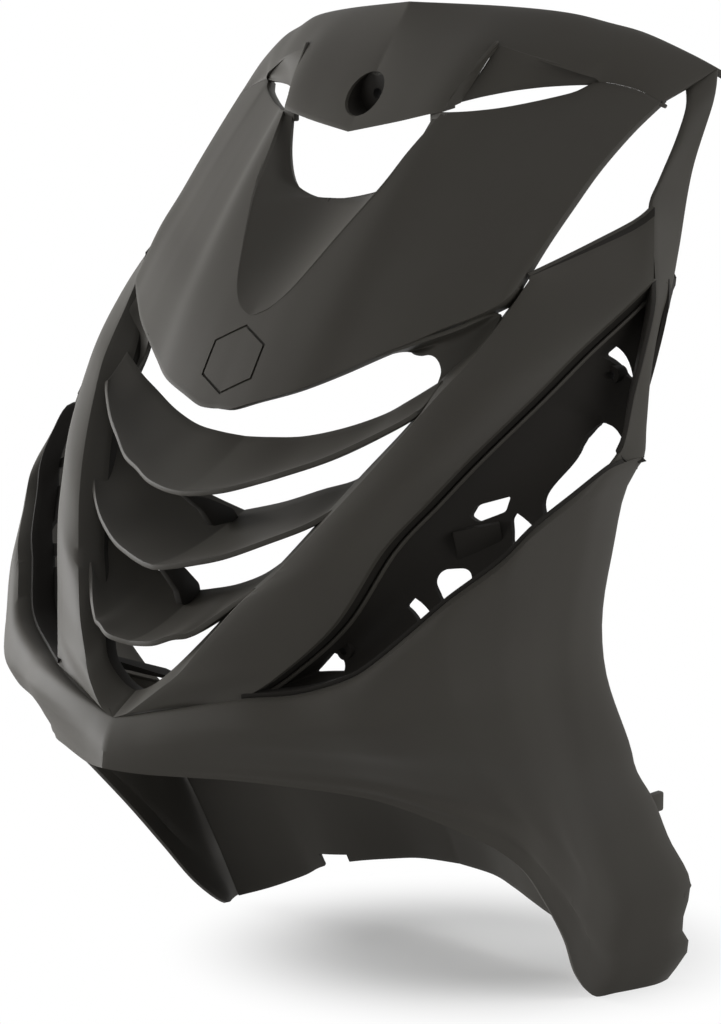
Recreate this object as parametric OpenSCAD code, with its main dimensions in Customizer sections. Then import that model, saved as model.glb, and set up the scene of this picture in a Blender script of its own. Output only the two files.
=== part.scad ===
// Scooter front panel, one moulded shell that hangs on the scooter by its centre screw.
// Millimetres, +Z up, the front of the panel looks towards -Y. The curves are drawn with
// z = 0 under the legs, and the finished panel is moved so that the origin lies in the screw's bore.

/* [Overall size] */
// Width of the panel across the widest part of the wings
panel_width = 420; // [380:2:460]
// Depth of the panel from the nose to the rear edge
panel_depth = 330; // [300:2:360]
// Height of the panel from the feet to the top rim
panel_height = 584; // [530:2:640]
// Thickness of the moulding
skin = 2.5; // [2:0.1:4]

/* [Front features] */
// How far the flanges turn in behind the edges of the openings
flange_depth = 15; // [8:1:22]
// Width of the badge seat across its flats
badge_flats = 37; // [25:1:40]
// Width of the groove that draws the badge seat
badge_groove = 1.6; // [1:0.1:3]
// Depth of the scoop valley at its upper end
valley_depth = 20; // [12:1:28]
// Thickness of the louvre slats
slat_skin = 3; // [2:0.1:4]

/* [Fixings] */
// Bore of the centre screw in the top band
screw_bore = 6.4; // [5:0.1:8]
// Width of the round pocket round the centre screw
pocket_bore = 26; // [20:1:30]
// How far the pocket reaches behind the band
screw_length = 16; // [12:1:24]
// Bore of the screw eyes in the intake pans
pan_bore = 4.2; // [3:0.1:5]

/* [Hidden] */
$fn = 14;
kx = panel_width/420;
ky = panel_depth/330;
kz = panel_height/584;
centre = [0, 40*ky, 280*kz];
black = [0.14, 0.14, 0.14];
// centre screw: a round pocket in the top band with a bored floor
pocket = P([0, -36, 530]);
pocket_floor = 4;

// Control points of the outlines, half of the panel, at the plain size

top_rim = [[0,6,584],[58,22,581],[96,34,577],[119,45,571],[139,53,565],[164,63,553],[178,69,545]];
lip_edge = [[0,-51,508],[32,-46,514],[60,-39,520]];
hood_top = [[60,-39,520],[76,-26,521],[93,-12,524],[117,9,531],[128,21,537],[148,30,533],[163,33,526]];
hood_side = [[163,33,526],[157,10,509],[152,-15,488],[149,-37,467],[147,-58,447],[144,-77,425]];
hood_free = [[144,-77,425],[140,-87,417],[130,-97,410],[118,-108,404],[104,-120,396],[90,-130,389],
             [68,-144,377],[49,-156,368],[27,-164,361],[11,-168,356],[0,-168,356]];
valley_edge = [[62,-37,520],[54,-60,498],[48,-79,478],[35,-103,450],[23,-123,425],[14,-132,413],
               [6,-136,408],[0,-137,406]];
scoop_edge = [[54,-39,517],[47,-49,497],[40,-55,483],[33,-58,476],[20,-63,472],[8,-67,470],[0,-68,469]];
rear_edge = [[210,-46,334],[202,-53,314],[198,-58,282],[195,-62,253],[196,-64,230],[198,-60,206],
             [195,-35,168],[190,-20,148],[184,7,124],[179,31,95],[176,59,62],[173,55,35],[172,65,19],
             [164,54,0]];
side_rear = [[210,-46,334],[210,-44,352],[206,-34,382],[200,-16,410],[196,-1,424],[188,18,445],
             [180,42,487],[182,60,527],[178,69,545]];
side_front = [[210,-70,338],[210,-64,347],[207,-53,367],[206,-43,386],[202,-27,412],[195,-16,428],
              [187,-7,448],[178,4,468],[177,15,482],[175,35,505],[174,46,523],[168,54,536]];
tear_low = [[148,-70,432],[157,-48,441],[165,-30,449],[175,-6,460],[180,4,468]];
tear_base = [[148,-70,430],[160,-55,430],[172,-41,430],[184,-28,430],[194,-15,429]];
wing_edge = [[0,-252,192],[36,-241,200],[71,-225,208],[96,-208,211],[120,-195,220],[133,-186,230],
             [150,-169,250],[162,-158,264],[180,-136,284],[191,-122,301],[202,-101,317],[210,-81,330],[211,-64,333],[210,-46,334]];
arch_edge = [[0,-261,165],[22,-251,163],[63,-228,162],[90,-209,159],[117,-180,152],[135,-162,144],
             [153,-136,129],[162,-116,117],[167,-95,100],[165,-72,76],[161,-47,47],[154,-26,20],[150,-3,1],
             [155,12,0],[164,39,0],[164,54,0]];
ridge = [[148,-70,430],[144,-83,414],[140,-97,399],[136,-111,385],[130,-126,371],[122,-141,354],
         [108,-164,326],[92,-185,299],[75,-203,273],[62,-216,258],[49,-228,238],[36,-237,219],
         [28,-243,211],[18,-248,202],[9,-251,195],[0,-252,192]];
arm_out = [[195,-18,429],[189,-42,412],[179,-69,391],[168,-94,368],[150,-129,335],[137,-149,312],
           [123,-170,287],[106,-190,247],[83,-213,218],[71,-225,208]];
arm_in = [[140,-68,422],[130,-90,396],[117,-112,374],[112,-129,354],[97,-153,326],[81,-173,299],
          [65,-192,273],[51,-205,256],[38,-219,236],[25,-230,219],[11,-233,208],[0,-234,204]];
slat1_front = [[0,-197,309],[13,-196,310],[30,-192,313],[46,-185,318],[60,-180,323],[79,-167,331],
               [97,-155,341],[115,-140,353],[121,-134,359]];
slat1_back = [[0,-140,335],[18,-140,336],[41,-136,338],[65,-129,344],[88,-121,353],[104,-118,362],[122,-112,374]];
slat2_front = [[0,-219,270],[9,-218,271],[24,-214,274],[43,-207,279],[64,-196,288],[82,-183,297],[93,-174,305]];
slat2_back = [[0,-142,292],[31,-142,300],[60,-141,310],[85,-142,318],[105,-144,330]];
slat3_front = [[0,-238,230],[17,-238,232],[28,-234,236],[37,-229,238],[48,-221,247],[58,-212,257],[65,-206,264]];
slat3_back = [[0,-180,251],[10,-180,253],[30,-180,258],[52,-180,267],[72,-180,280]];

// Splines and sheets

function P(p) = [p[0]*kx, p[1]*ky, p[2]*kz];
function all(c) = [for (p = c) P(p)];
function cum(c, i = 0, a = [0]) = i >= len(c) - 1 ? a : cum(c, i + 1, concat(a, [a[i] + norm(c[i+1] - c[i])]));
function spline(c, s) = let (n = len(c) - 1, t = min(max(s, 0), n - 1e-9), i = floor(t), f = t - i,
    p0 = c[max(i-1, 0)], p1 = c[i], p2 = c[i+1], p3 = c[min(i+2, n)])
    0.5*(2*p1 + (p2 - p0)*f + (2*p0 - 5*p1 + 4*p2 - p3)*f*f + (3*p1 - p0 - 3*p2 + p3)*f*f*f);
function run(c, n) = let (a = cum(c), T = [for (i = [0:len(c)-1]) [a[i], i]], L = a[len(c)-1])
    [for (i = [0:n]) spline(c, lookup(L*i/n, T))];
function mix(a, b, t) = a*(1 - t) + b*t;
function hump(t) = 4*t*(1 - t);
function flip(c) = [for (p = c) [-p[0], p[1], p[2]]];
function back(c) = [for (i = [len(c)-1:-1:0]) c[i]];
// rows from curve a to curve b, with a bulge vector for the middle of the way
function ruled(a, b, m, bulge = [0,0,0]) = [for (j = [0:m]) [for (i = [0:len(a)-1])
    mix(a[i], b[i], j/m) + bulge*hump(j/m)]];
// four-sided patch: a on top, b below, l and r at the ends, with a bulge that leans along u and v
function patch4(a, b, l, r, bulge = [0,0,0], lean = [1,1], late = 1) = let (n = len(a) - 1, m = len(l) - 1)
    [for (j = [0:m]) let (v = j/m) [for (i = [0:n]) let (u = i/n, w = pow(u, late))
        mix(a[i], b[i], v) + mix(l[j], r[j], w)
        - mix(mix(a[0], a[n], w), mix(b[0], b[n], w), v) + bulge*hump(pow(v, lean[1]))*hump(pow(u, lean[0]))]];
// both halves of a grid whose rows start on the middle plane
function whole(g) = [for (r = g) concat([for (i = [len(r)-1:-1:1]) [-r[i][0], r[i][1], r[i][2]]], r)];
function unit(v) = v/max(norm(v), 1e-9);
function normals(g) = let (m = len(g) - 1, n = len(g[0]) - 1)
    [for (j = [0:m]) [for (i = [0:n])
        unit(cross(g[j][min(i+1, n)] - g[j][max(i-1, 0)], g[min(j+1, m)][i] - g[max(j-1, 0)][i]))]];

// points held to a fine grid, so that sheets that share an edge meet exactly
function held(p) = [for (v = p) round(v*50)/50];

// closed thin solid on a grid, its second face t further towards the point c
module sheet(g, t = skin, c = centre) {
    m = len(g) - 1;
    n = len(g[0]) - 1;
    N = normals(g);
    jm = floor(m/2);
    im = floor(n*0.6);
    s = N[jm][im]*(c - g[jm][im]) > 0 ? 1 : -1;
    w = n + 1;
    K = (m + 1)*w;
    pts = concat([for (j = [0:m]) for (i = [0:n]) held(g[j][i])],
                 [for (j = [0:m]) for (i = [0:n]) held(g[j][i] + N[j][i]*s*t)]);
    quads = concat(
        [for (j = [0:m-1]) for (i = [0:n-1]) [j*w+i, j*w+i+1, (j+1)*w+i+1, (j+1)*w+i]],
        [for (j = [0:m-1]) for (i = [0:n-1]) [K+j*w+i, K+(j+1)*w+i, K+(j+1)*w+i+1, K+j*w+i+1]],
        [for (i = [0:n-1]) [i, K+i, K+i+1, i+1]],
        [for (i = [0:n-1]) [m*w+i, m*w+i+1, K+m*w+i+1, K+m*w+i]],
        [for (j = [0:m-1]) [j*w, (j+1)*w, K+(j+1)*w, K+j*w]],
        [for (j = [0:m-1]) [j*w+n, K+j*w+n, K+(j+1)*w+n, (j+1)*w+n]]);
    tri = [for (q = quads) each [[q[0], q[1], q[2]], [q[0], q[2], q[3]]]];
    polyhedron(pts, s > 0 ? tri : [for (f = tri) [f[2], f[1], f[0]]], convexity = 8);
}

// Outlines in the front view, cut straight through a sheet
module window(pts, y0 = -400, y1 = 200) {
    translate([0, y1*ky, 0]) rotate([90, 0, 0]) linear_extrude(height = (y1 - y0)*ky)
        polygon([for (p = pts) [p[0]*kx, p[1]*kz]]);
}
module both() {
    children();
    mirror([1, 0, 0]) children();
}

// Grids of the outer surfaces
N_long = 11;
g_wing = patch4(run(all(wing_edge), N_long), run(all(arch_edge), N_long),
    run(all([[0,-252,192],[0,-259,178],[0,-261,165]]), 5), run(all(rear_edge), 5), P([9,-12,2]), [1.1, 0.5], 1.8);
function ends(a, b, i, m) = [for (j = [0:m]) mix(a[i], b[i], j/m)];
g_arm = let (a = run(all(ridge), N_long), b = run(all(arm_out), N_long))
    patch4(a, b, ends(a, b, 0, 2), ends(a, b, N_long, 2), P([4,-5,2]));
g_arm_in = ruled(run(all(ridge), N_long), run(all(arm_in), N_long), 1);
g_strip = ruled(run(all(side_front), 10), run(all(side_rear), 10), 1);
g_shoulder = ruled(run(all(tear_low), 5), run(all(tear_base), 5), 1);
hood_left = [[0,-45,520],[0,-92,465],[0,-137,406],[0,-168,356]];
hood_above = concat([[0,-45,520],[30,-43,520]], hood_top);
g_hood = patch4(run(all(hood_above), 8), run(all(back(hood_free)), 8),
    run(all(hood_left), 5), run(all(hood_side), 5), P([0,-1,0]));
band_low = concat(lip_edge, [for (i = [1:len(hood_top)-1]) hood_top[i]]);
g_band = patch4(run(all(top_rim), 8), run(all(band_low), 8),
    run(all([[0,6,584],[0,-12,560],[0,-32,534],[0,-51,508]]), 3), run(all([[178,69,545],[171,51,535],[163,33,526]]), 3),
    P([0,-6,4]));
valley_floor = concat(scoop_edge, [[-1,-86,452],[-1,-104,436],[-1,-122,420],[-1,-135,408]]);
g_valley = ruled(push(run(all(valley_edge), 8), [0, 0.3, -0.4]), run(all(valley_floor), 8), 2, P([0,4,-3])*valley_depth/20);

intake_out = concat([for (i = [2:len(wing_edge)-2]) wing_edge[i]], [for (i = [0:5]) side_front[i]]);
arm_rim = back(run(all(arm_out), N_long));
out_rim = run(all(intake_out), N_long);
function push(c, v) = [for (p = c) p + v];
f = flange_depth;
g_pan = ruled(push(arm_rim, [0, f, 0]), push(out_rim, [-2, f*0.8, 0]), 2, [-4, 12, 0]);

// Openings of the pans, front view
pan_slot = [[183,349],[186,352],[193,350],[201,343],[209,336],[207,324],[194,302],[186,304],[179,311],[178,318],
            [184,333],[183,342]];
pan_slant = [[148,309],[162,314],[162,306],[150,300],[146,303]];
pan_kite = [[167,306],[186,298],[179,288],[172,291],[166,302]];
pan_round = [[139,275],[155,277],[163,270],[158,259],[148,259],[137,268]];
pan_bar = [[129,260],[148,252],[143,246],[126,255]];
pan_tri = [[96,230],[87,218],[105,220]];
pan_top = [[183,394],[180,388],[190,376],[194,374]];

module band() {
    difference() {
        sheet(whole(g_band));
        both() window([[60.5,516],[62,528],[74,558],[128,539],[129,532],[117,520],[76,508]]);
    }
    both() {
        // floor and side wall of the recess above the slot
        sheet(ruled(run(all([[73,-3,559],[98,3,551],[131,23,540]]), 5),
                    run(all([[62,-25,526],[76,-13,530],[99,7,534],[131,23,537]]), 5), 1));
        sheet(ruled(run(all([[60,-39,520],[66,-25,538],[74,-5,559]]), 4),
                    run(all([[63,-24,525],[68,-13,542],[74,-2,560]]), 4), 1), skin*0.8, P([-60,0,540]));
        // turned-in edge on the hood side of the slot
        sheet(ruled(run(all(hood_top), 5), push(run(all(hood_top), 5), [0, f*0.5, -2]), 1));
    }
    // lip turned in along the scoop
    sheet(whole(ruled(run(all(lip_edge), 3), push(run(all(lip_edge), 3), [0, f*0.8, 3]), 1)));
    // rolled top rim
    sheet(whole(ruled(run(all(top_rim), 8), push(run(all(top_rim), 8), [0, 7, -4]), 1)));
}
module hood() {
    groove = 0.9;
    difference() {
        sheet(whole(g_hood));
        window(concat([[60,560]], [for (p = valley_edge) [p[0]*0.96, p[2] + 1]],
            [for (i = [len(valley_edge)-2:-1:0]) [-valley_edge[i][0]*0.96, valley_edge[i][2] + 1]], [[-60,560]]));
        intersection() {
            sheet(whole([for (r = g_hood) push(r, [0, -0.4, 0.3])]), groove + 0.5);
            translate([0, -153*ky, 383*kz]) rotate([53, 0, 0]) translate([0, 0, -20])
                linear_extrude(height = 40) difference() {
                    rotate(90) circle(d = (badge_flats + badge_groove)/cos(30), $fn = 6);
                    rotate(90) circle(d = (badge_flats - badge_groove)/cos(30), $fn = 6);
                }
        }
    }
    // free edge turned in, deeper at the open corners
    rim = run(all(hood_free), 8);
    sheet(whole([for (j = [0:1]) [for (i = [8:-1:0]) rim[i] + [0, f*(0.35 + 0.75*pow(1 - i/8, 2)), -1]*j]]),
        skin, P([0,-100,700]));
    both() {
        sheet(g_valley);
        side = run(all(hood_side), 5);
        sheet(ruled(side, push(side, [-1, f*0.55, 0]), 1));
    }
}
module arms() {
    rim = back(run(all(arm_in), N_long));
    sheet(whole([for (r = g_arm_in) back(r)]), skin, P([120, -60, 230]));
    sheet(whole(ruled(rim, push(rim, [0, f, 0]), 1)), skin, P([120, -60, 230]));
    both() {
        sheet(g_arm);
        sheet(ruled(push(arm_rim, [0, 0.5, 0]), push(arm_rim, [0, f + 1, 0]), 1), skin, P([0,-100,400]));
        // web that closes the corner of the first gap under the hood
        sheet(ruled(run(all([[148,-70,431],[142,-89,406],[136,-110,385],[129,-126,370]]), 4),
                    run(all([[140,-70,423],[130,-86,409],[114,-104,400],[110,-110,388]]), 4), 1));
    }
}
module wings() {
    sheet(whole(g_wing));
    both() {
        sheet(g_strip);
        sheet(g_shoulder);
        // edges turned in round the teardrop and the intake
        tear = run(all([for (i = [5:len(side_front)-1]) side_front[i]]), 6);
        sheet(ruled(tear, push(tear, [-f*0.55, f*0.25, 0]), 1));
        low = run(all(tear_low), 5);
        sheet(ruled(low, push(low, [-2, f*0.4, -4]), 1));
        sheet(ruled(out_rim, push(out_rim, [-3, f, 0]), 1));
    }
}
module louvre(a, b) {
    sheet(whole(ruled(run(all(a), 6), run(all(b), 6), 2, P([0,-3,-5]))), slat_skin, P([0,-100,600]));
}
module louvres() {
    louvre(slat1_front, slat1_back);
    louvre(slat2_front, slat2_back);
    louvre(slat3_front, slat3_back);
    // ties between the slats on the middle plane
    for (t = [[-160, 304, 30], [-186, 263, 26]])
        translate([0, t[0]*ky, t[1]*kz]) rotate([-20, 0, 0]) cube([5, 16, t[2]], center = true);
}
module pans() {
    both() {
        difference() {
            sheet(g_pan);
            for (w = [pan_slot, pan_slant, pan_kite, pan_round, pan_bar, pan_tri, pan_top]) window(w);
        }
        // box bracket on the pan
        translate(P([152, -120, 290])) rotate([0, -12, 38]) cube([26, 12, 17], center = true);
    }
}
module well() {
    top = run(all([[0,-46,160],[34,-48,160],[62,-52,160],[90,-58,160],[120,-64,161],[155,-68,163],[190,-66,166]]), 9);
    low = run(all([[0,61,42],[30,58,41],[52,51,38],[70,44,35],[86,40,31],[100,40,26],[114,40,18],[135,28,8],[155,8,3]]), 9);
    side = run(all([[190,-66,166],[184,-50,140],[174,-28,95],[165,-12,47],[155,8,3]]), 3);
    mid = run(all([[0,-46,160],[0,4,124],[0,36,88],[0,61,42]]), 3);
    difference() {
        sheet(whole(patch4(top, low, mid, side)), skin, P([0,-400,300]));
        window([[-96,20],[-76,20],[-76,38],[-96,36]]);
    }
}
// small tabs and hooks on the rear edges
module tabs() {
    both() {
        translate(P([174, 13, 117])) cube([5, 14, 14], center = true);
        translate(P([206, -49, 318])) cube([4, 9, 10], center = true);
        translate(P([174, 54, 60])) rotate([40, 0, 0]) cube([4, 10, 10], center = true);
    }
}
module shell() {
    tabs();
    band();
    hood();
    arms();
    wings();
    louvres();
    pans();
    well();
}

module front_panel() color(black) translate(-pocket - [0, screw_length - pocket_floor/2, 0]) {
    eye_low = P([100, -173, 230]);
    eye_high = P([184, -42, 377]);
    difference() {
        union() {
            resize([0, 0, 0]) shell();
            difference() {
                translate(pocket + [0, -12, 0]) rotate([-90, 0, 0]) cylinder(d = pocket_bore + 2*skin, h = 12 + screw_length);
                translate(pocket + [0, 1, 0]) rotate([-36, 0, 0]) translate([0, -30, 0]) cube([60, 60, 90], center = true);
            }
            both() {
                translate(eye_low) rotate([-90, 0, 0]) cylinder(d = pan_bore + 6, h = 9);
                translate(eye_high) rotate([-90, 0, 0]) cylinder(d = pan_bore + 6, h = 9);
            }
        }
        translate(pocket + [0, -40, 0]) rotate([-90, 0, 0]) cylinder(d = pocket_bore, h = 40 + screw_length - pocket_floor);
        translate(pocket) rotate([-90, 0, 0]) cylinder(d = screw_bore, h = screw_length + 10);
        both() {
            translate(eye_low + [0, -10, 0]) rotate([-90, 0, 0]) cylinder(d = pan_bore, h = 24);
            translate(eye_high + [0, -10, 0]) rotate([-90, 0, 0]) cylinder(d = pan_bore, h = 24);
        }
    }
}

front_panel();
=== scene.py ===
"""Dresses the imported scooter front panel: one matt moulded shell in a plain pale studio.

The panel's curves are drawn in millimetres on its own drawing, with x across, y towards the
rear and z up from under the legs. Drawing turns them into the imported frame's metres.
"""

from __future__ import annotations

import logging
import math
from abc import ABC, abstractmethod
from dataclasses import dataclass, field
from enum import Enum
from typing import Iterable, Sequence

import bpy
import numpy as np
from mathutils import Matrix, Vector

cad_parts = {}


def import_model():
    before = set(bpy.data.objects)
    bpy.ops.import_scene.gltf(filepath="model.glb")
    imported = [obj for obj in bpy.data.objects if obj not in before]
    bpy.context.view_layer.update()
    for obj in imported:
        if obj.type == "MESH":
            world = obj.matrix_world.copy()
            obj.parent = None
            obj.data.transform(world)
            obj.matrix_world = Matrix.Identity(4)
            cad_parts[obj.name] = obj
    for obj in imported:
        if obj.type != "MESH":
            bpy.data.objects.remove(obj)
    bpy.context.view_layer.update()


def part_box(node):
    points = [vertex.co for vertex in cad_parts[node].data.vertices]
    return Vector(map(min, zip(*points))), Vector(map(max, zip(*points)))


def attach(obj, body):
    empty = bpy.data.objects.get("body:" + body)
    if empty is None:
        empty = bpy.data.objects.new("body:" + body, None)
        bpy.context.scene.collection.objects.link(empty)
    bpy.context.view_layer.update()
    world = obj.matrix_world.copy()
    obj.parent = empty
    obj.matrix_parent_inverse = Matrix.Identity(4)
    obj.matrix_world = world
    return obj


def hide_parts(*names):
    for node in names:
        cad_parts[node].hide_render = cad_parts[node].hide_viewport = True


LOG = logging.getLogger("front_panel")

# walls at the back of openings, given a darker copy of the same plastic: painted shade where little light
# reaches them
PAINTED_SHADE_WALLS = {"pocket", "pan", "bracket", "eye", "arm_back", "arm_flange", "shoulder_lip", "tie",
             "intake_edge"}

Triple = tuple[float, float, float]
Pair = tuple[float, float]


# Drawing and curves


@dataclass(frozen=True)
class Drawing:
    """The drawing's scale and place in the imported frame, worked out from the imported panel's box."""

    low: Triple
    high: Triple
    drawn_height: float = 584.0
    drawn_nose: float = -261.0

    @property
    def scale(self) -> float:
        """Metres for each drawn millimetre."""
        return (self.high[2] - self.low[2]) / self.drawn_height

    def place(self, points: np.ndarray) -> np.ndarray:
        """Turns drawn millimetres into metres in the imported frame.

        Args:
            points: Array whose last axis holds x, y and z in millimetres.

        Returns:
            The same array shape in metres.
        """
        middle = (self.low[0] + self.high[0]) / 2
        origin = np.array([middle, self.low[1] - self.drawn_nose * self.scale, self.low[2]])
        return np.asarray(points, dtype=float) * self.scale + origin


@dataclass(frozen=True)
class Curve:
    """A smooth curve through given points in millimetres."""

    points: tuple[Triple, ...]

    def back(self) -> Curve:
        """The same curve run from its other end."""
        return Curve(tuple(reversed(self.points)))

    def sample(self, count: int) -> np.ndarray:
        """Points at even steps along the chord length of a Catmull-Rom spline.

        Args:
            count: Number of steps, so there is one point more.

        Returns:
            Array of shape (count + 1, 3).
        """
        c = np.array(self.points, dtype=float)
        knots = np.concatenate([[0.0], np.cumsum(np.linalg.norm(np.diff(c, axis=0), axis=1))])
        where = np.interp(np.linspace(0, knots[-1], count + 1), knots, np.arange(len(c)))
        last = len(c) - 1
        at = np.minimum(where.astype(int), last - 1)
        t = (where - at)[:, None]
        before, start, end, after = c[np.maximum(at - 1, 0)], c[at], c[at + 1], c[np.minimum(at + 2, last)]
        return 0.5 * (
            2 * start
            + (end - before) * t
            + (2 * before - 5 * start + 4 * end - after) * t**2
            + (3 * start - before - 3 * end + after) * t**3
        )


def hump(t: np.ndarray | float) -> np.ndarray | float:
    """A parabola that is 0 at both ends of 0 to 1 and 1 in the middle."""
    return 4 * t * (1 - t)


def push(row: np.ndarray, by: Sequence[float]) -> np.ndarray:
    """A row moved by a vector in millimetres."""
    return row + np.array(by, dtype=float)


def ruled(start: np.ndarray, end: np.ndarray, rows: int, bulge: Sequence[float] = (0, 0, 0)) -> np.ndarray:
    """Rows from one curve to another, with a bulge half-way.

    Args:
        start: First row, shape (n, 3).
        end: Last row, shape (n, 3).
        rows: Steps between them.
        bulge: How far the middle of the way stands off the straight one.

    Returns:
        Grid of shape (rows + 1, n, 3).
    """
    t = np.linspace(0, 1, rows + 1)[:, None, None]
    return start * (1 - t) + end * t + np.array(bulge, dtype=float) * hump(t)


def patch(top: np.ndarray, low: np.ndarray, left: np.ndarray, right: np.ndarray, bulge: Sequence[float],
          lean: Pair = (1, 1), late: float = 1) -> np.ndarray:
    """Four-sided blend of its border curves, with a bulge that leans along the rows and down the columns.

    Args:
        top: First row, shape (n, 3).
        low: Last row, shape (n, 3).
        left: Column through the rows' first points, shape (m, 3).
        right: Column through the rows' last points, shape (m, 3).
        bulge: How far the middle stands off.
        lean: Powers of the way along a row and down a column, below 1 where the bulge lies near the start.
        late: Power of the way along a row at which the right column takes over from the left one.

    Returns:
        Grid of shape (m, n, 3).
    """
    u = np.linspace(0, 1, len(top))[None, :, None]
    v = np.linspace(0, 1, len(left))[:, None, None]
    w = u**late
    across = top[None] * (1 - v) + low[None] * v
    down = left[:, None] * (1 - w) + right[:, None] * w
    corners = (top[0] * (1 - w) + top[-1] * w) * (1 - v) + (low[0] * (1 - w) + low[-1] * w) * v
    return across + down - corners + np.array(bulge, dtype=float) * hump(u ** lean[0]) * hump(v ** lean[1])


def whole(grid: np.ndarray) -> np.ndarray:
    """Both halves of a grid whose rows start on the middle plane."""
    return np.concatenate([mirrored(grid)[:, :0:-1], grid], axis=1)


def rounded(outline: Sequence[Pair], radius: float, steps: int = 6) -> list[Pair]:
    """A closed outline with its corners rounded.

    Args:
        outline: Corners in millimetres.
        radius: How far back from a corner its curve starts, at most half of each side.
        steps: Steps round each corner.

    Returns:
        The corners of the rounded outline.
    """
    ring = []
    corners = np.array(outline, dtype=float)
    for before, corner, after in zip(np.roll(corners, 1, 0), corners, np.roll(corners, -1, 0)):
        starts = []
        for other in (before, after):
            side = float(np.linalg.norm(other - corner))
            starts.append(corner + (other - corner) * min(radius / side, 0.48))
        for t in np.linspace(0, 1, steps + 1):
            ring.append(tuple((1 - t) ** 2 * starts[0] + 2 * t * (1 - t) * corner + t**2 * starts[1]))
    return ring


def mirrored(grid: np.ndarray) -> np.ndarray:
    """The grid on the other side of the middle plane."""
    return grid * np.array([-1.0, 1.0, 1.0])


# Modelling


@dataclass
class Workshop:
    """Makes mesh pieces with Blender's operators and finishes them with applied modifiers."""

    drawing: Drawing
    skin: float = 2.5
    rim: float = 0.7
    inside: Triple = (0.0, 40.0, 280.0)
    weld: float = 0.02
    cutter_reach: Pair = (-400.0, 200.0)

    def clear(self) -> None:
        """Deselects everything, so that an operator acts on one piece alone."""
        if bpy.context.object and bpy.context.object.mode != "OBJECT":
            bpy.ops.object.mode_set(mode="OBJECT")
        bpy.ops.object.select_all(action="DESELECT")

    def pick(self, piece: bpy.types.Object) -> None:
        """Makes one piece the selected and active one."""
        self.clear()
        piece.select_set(True)
        bpy.context.view_layer.objects.active = piece

    def apply(self, piece: bpy.types.Object, modifier: bpy.types.Modifier) -> None:
        """Applies a modifier to its piece."""
        self.pick(piece)
        bpy.ops.object.modifier_apply(modifier=modifier.name)

    def lay(self, name: str, grid: np.ndarray) -> bpy.types.Object:
        """A grid primitive laid on drawn rows.

        Args:
            name: Name of the piece.
            grid: Rows of points in millimetres, shape (m, n, 3).

        Returns:
            The open surface.
        """
        self.clear()
        rows, columns = grid.shape[:2]
        bpy.ops.mesh.primitive_grid_add(x_subdivisions=columns - 1, y_subdivisions=rows - 1, size=1)
        piece = bpy.context.object
        piece.name = name
        piece.data.vertices.foreach_set("co", self.drawing.place(grid).ravel())
        piece.data.update()
        return piece

    def sheet(self, name: str, grid: np.ndarray | Sequence[np.ndarray], thickness: float | None = None,
              towards: Triple | None = None, rim: float | None = None) -> bpy.types.Object:
        """A moulded wall: grids laid on drawn rows, thickened towards one side, with eased edges.

        Args:
            name: Name of the piece.
            grid: Rows of points in millimetres, shape (m, n, 3), or several such grids that share edges.
            thickness: Wall in millimetres, the skin if left out.
            towards: Point in millimetres that the second face lies nearer to.
            rim: Radius that the edges are eased by, in millimetres.

        Returns:
            The finished wall.
        """
        grids = [grid] if isinstance(grid, np.ndarray) else list(grid)
        piece = self.join(name, [self.lay(name, g) for g in grids])
        self.pick(piece)
        bpy.ops.object.mode_set(mode="EDIT")
        bpy.ops.mesh.select_all(action="SELECT")
        bpy.ops.mesh.remove_doubles(threshold=self.weld * self.drawing.scale)
        if len(grids) > 1:
            bpy.ops.mesh.normals_make_consistent(inside=False)
        bpy.ops.object.mode_set(mode="OBJECT")
        inner = self.drawing.place(np.array(towards or self.inside))
        facing = 0.0
        for face in piece.data.polygons:
            facing += face.normal.dot(face.center - face.center.__class__(inner)) * face.area
        if facing < 0:
            bpy.ops.object.mode_set(mode="EDIT")
            bpy.ops.mesh.select_all(action="SELECT")
            bpy.ops.mesh.flip_normals()
            bpy.ops.object.mode_set(mode="OBJECT")
        wall = piece.modifiers.new("wall", "SOLIDIFY")
        wall.thickness = (thickness or self.skin) * self.drawing.scale
        wall.offset = -1
        wall.use_even_offset = True
        wall.use_quality_normals = True
        self.apply(piece, wall)
        self.ease(piece, self.rim if rim is None else rim)
        return piece

    def ease(self, piece: bpy.types.Object, radius: float, steps: int = 2, angle: float = 38) -> None:
        """Rounds the sharp edges of a piece by a radius in millimetres."""
        if radius <= 0:
            return
        bevel = piece.modifiers.new("ease", "BEVEL")
        bevel.width = radius * self.drawing.scale
        bevel.segments = steps
        bevel.limit_method = "ANGLE"
        bevel.angle_limit = math.radians(angle)
        bevel.use_clamp_overlap = True
        self.apply(piece, bevel)

    def extruded(self, corners: Sequence[Triple], way: Triple) -> bpy.types.Object:
        """A ring of corners filled and drawn out along a way.

        Args:
            corners: Corners in millimetres.
            way: How far the far end stands off, in millimetres.

        Returns:
            The solid.
        """
        self.clear()
        bpy.ops.mesh.primitive_circle_add(vertices=len(corners), radius=1, fill_type="NGON")
        piece = bpy.context.object
        piece.data.vertices.foreach_set("co", self.drawing.place(np.array(corners)).ravel())
        piece.data.update()
        bpy.ops.object.mode_set(mode="EDIT")
        bpy.ops.mesh.select_all(action="SELECT")
        bpy.ops.mesh.extrude_region_move(
            TRANSFORM_OT_translate={"value": tuple(part * self.drawing.scale for part in way)})
        bpy.ops.mesh.select_all(action="SELECT")
        bpy.ops.mesh.normals_make_consistent(inside=False)
        bpy.ops.object.mode_set(mode="OBJECT")
        return piece

    def prism(self, outline: Sequence[Pair]) -> bpy.types.Object:
        """A front-view outline of (x, z) corners drawn out through the whole panel, to cut with."""
        front, rear = self.cutter_reach
        return self.extruded([(x, front, z) for x, z in outline], (0, rear - front, 0))

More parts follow.
